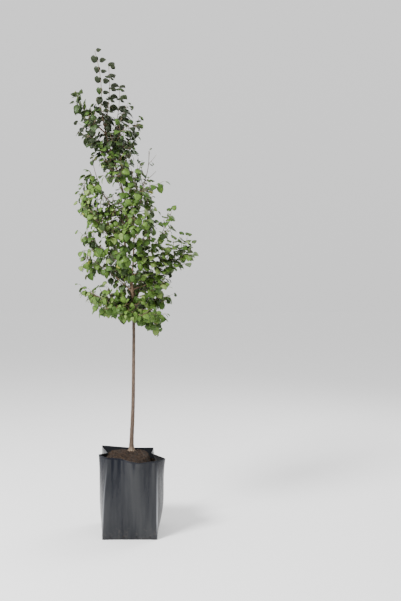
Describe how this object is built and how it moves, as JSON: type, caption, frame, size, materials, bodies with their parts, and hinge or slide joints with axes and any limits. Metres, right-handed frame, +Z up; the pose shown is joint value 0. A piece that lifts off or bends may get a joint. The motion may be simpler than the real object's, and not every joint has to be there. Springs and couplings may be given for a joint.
{
  "type": "linden tree",
  "caption": "Young small-leaved linden with a slender clear stem and an open upright top of boughs and foliage masses, standing in a soil-filled black nursery bag.",
  "frame": {"origin": "centre of the bag's flat underside, on the ground", "axes": "+Z up along the stem, -Y towards the bag's front panel and the viewer, +X to the viewer's right"},
  "size_m": [0.6678, 0.4599, 2.4322],
  "materials": {
    "film": "semi-gloss black polythene film with soft folds",
    "soil": "matt, granular dark brown soil",
    "bark": "smooth young grey-brown bark with small pores",
    "foliage": "satin mid-green leaves on thin brown-green twigs"
  },
  "bodies": {
    "root": {"bag": "film", "bough_arching_left": "bark", "bough_bare_whip": "bark", "bough_far_right": "bark", "bough_fork_right": "bark", "bough_left": "bark", "bough_left_cluster": "bark", "bough_left_whip": "bark", "bough_level_left": "bark", "bough_low_left": "bark", "bough_low_right": "bark", "bough_mid_right": "bark", "bough_rising_right": "bark", "bough_second_leader": "bark", "bough_side_spray": "bark", "bough_upright_right": "bark", "leaves_arching_left": "foliage", "leaves_back": "foliage", "leaves_bare_whip": "foliage", "leaves_drooping_right": "foliage", "leaves_far_right": "foliage", "leaves_fork_right": "foliage", "leaves_front": "foliage", "leaves_inner_back": "foliage", "leaves_inner_front": "foliage", "leaves_inner_right": "foliage", "leaves_leader": "foliage", "leaves_left": "foliage", "leaves_left_cluster": "foliage", "leaves_left_front": "foliage", "leaves_left_whip": "foliage", "leaves_level_left": "foliage", "leaves_low_back": "foliage", "leaves_low_back_left": "foliage", "leaves_low_back_right": "foliage", "leaves_low_front": "foliage", "leaves_low_front_left": "foliage", "leaves_low_front_right": "foliage", "leaves_low_left": "foliage", "leaves_low_right": "foliage", "leaves_mid_back": "foliage", "leaves_mid_back_left": "foliage", "leaves_mid_front": "foliage", "leaves_mid_front_right": "foliage", "leaves_mid_right": "foliage", "leaves_middle_whip": "foliage", "leaves_right_whip": "foliage", "leaves_rising_right": "foliage", "leaves_second_leader": "foliage", "leaves_shoulder_left": "foliage", "leaves_side_spray": "foliage", "leaves_top_back": "foliage", "leaves_top_front": "foliage", "leaves_upper_back": "foliage", "leaves_upper_front": "foliage", "leaves_upper_left": "foliage", "leaves_upright_right": "foliage", "soil": "soil", "trunk": "bark"}
  },
  "joints": []
}
